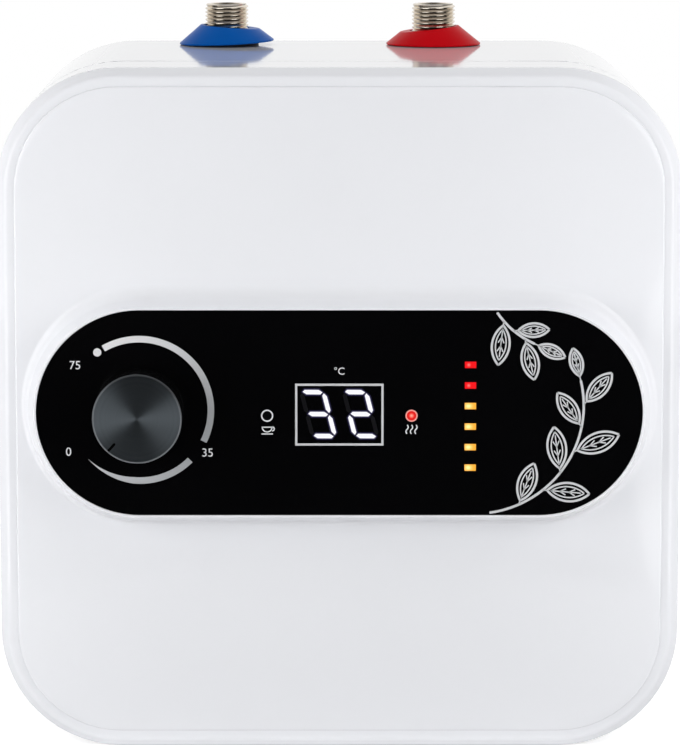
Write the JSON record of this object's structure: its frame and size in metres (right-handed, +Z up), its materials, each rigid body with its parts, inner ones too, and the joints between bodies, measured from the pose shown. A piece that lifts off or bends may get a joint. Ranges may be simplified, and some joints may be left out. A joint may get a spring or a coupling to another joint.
{
  "type": "electric water heater",
  "caption": "Compact storage water heater: rounded-square white case with a dial thermostat, a digit display and lamps on a black oval panel, and two threaded water nipples on top.",
  "frame": {"origin": "middle of the flat base, under the middle of the case's depth", "axes": "+X to the right seen from the front, +Y to the back, +Z up along the nipples; the front faces -Y"},
  "size_m": [0.3125, 0.2336, 0.332],
  "materials": {
    "white_abs": "gloss",
    "black_acrylic": "gloss",
    "smoked_acrylic": "gloss",
    "red_acrylic": "gloss",
    "amber_acrylic": "gloss",
    "clear_acrylic": "gloss",
    "circuit_board": "satin",
    "digit_resin": "matte",
    "led_resin": "satin",
    "zinc_steel": "satin",
    "spun_aluminium": "satin",
    "black_abs": "satin",
    "brown_bakelite": "satin",
    "copper": "satin",
    "enamelled_steel": "gloss",
    "stainless_steel": "satin",
    "black_rubber": "matte",
    "ceramic": "satin",
    "brass": "satin",
    "magnesium": "matte",
    "white_polypropylene": "satin",
    "nickel_plate": "polished",
    "blue_plastic": "gloss",
    "red_plastic": "gloss",
    "white_foam": "matte",
    "ivory_nylon": "satin",
    "red_nylon": "satin",
    "brown_sheath": "satin",
    "blue_sheath": "satin",
    "green_sheath": "satin",
    "grey_sheath": "satin"
  },
  "bodies": {
    "casing": {"rear_shell": "white_abs", "front_cover": "white_abs", "control_panel": "black_acrylic", "display_window": "smoked_acrylic", "level_guides_red": "red_acrylic", "heating_lamp_guide": "red_acrylic", "level_guides_amber": "amber_acrylic", "holding_lamp_guide": "clear_acrylic", "display_board": "circuit_board", "digit_module": "digit_resin", "indicator_leds": "led_resin", "cover_screws": "zinc_steel", "board_screws": "zinc_steel", "thermostat_screws": "zinc_steel", "flange_bolts": "zinc_steel", "hanger_plate": "zinc_steel", "thermostat_body": "brown_bakelite", "thermal_cutout": "brown_bakelite", "capillary_tube": "copper", "sensor_bulb": "copper", "heating_element": "copper", "tank": "enamelled_steel", "flange_plate": "stainless_steel", "thermowell": "stainless_steel", "flange_gasket": "black_rubber", "nipple_grommets": "black_rubber", "cord_grommet": "black_rubber", "element_insulators": "ceramic", "element_terminals": "brass", "earth_screw": "brass", "anode_rod": "magnesium", "dip_tube": "white_polypropylene", "cold_nipple": "nickel_plate", "hot_nipple": "nickel_plate", "insulation_front": "white_foam", "insulation_rear": "white_foam", "terminal_block": "ivory_nylon", "live_lead": "brown_sheath", "link_lead": "brown_sheath", "neutral_lead": "blue_sheath", "earth_lead": "green_sheath", "display_lead": "grey_sheath"},
    "control_knob": {"knob_shell": "spun_aluminium", "knob_core": "black_abs", "knob_pointer": "black_abs", "thermostat_shaft": "zinc_steel"},
    "reset_button": {"reset_button": "red_nylon"},
    "cold_collar": {"cold_collar": "blue_plastic"},
    "hot_collar": {"hot_collar": "red_plastic"}
  },
  "joints": [
    {"name": "dial_turn", "type": "hinge", "parent": "casing", "child": "control_knob", "pos_m": [-0.09, -0.1163, 0.159], "axis": [0, -1, 0], "range_deg": [0, 258]},
    {"name": "cutout_reset", "type": "slide", "parent": "casing", "child": "reset_button", "axis": [0, -1, 0], "range_m": [0, 0.0015]},
    {"name": "cold_collar_lift", "type": "slide", "parent": "casing", "child": "cold_collar", "axis": [0, 0, 1], "range_m": [0, 0.01]},
    {"name": "hot_collar_lift", "type": "slide", "parent": "casing", "child": "hot_collar", "axis": [0, 0, 1], "range_m": [0, 0.01]}
  ]
}
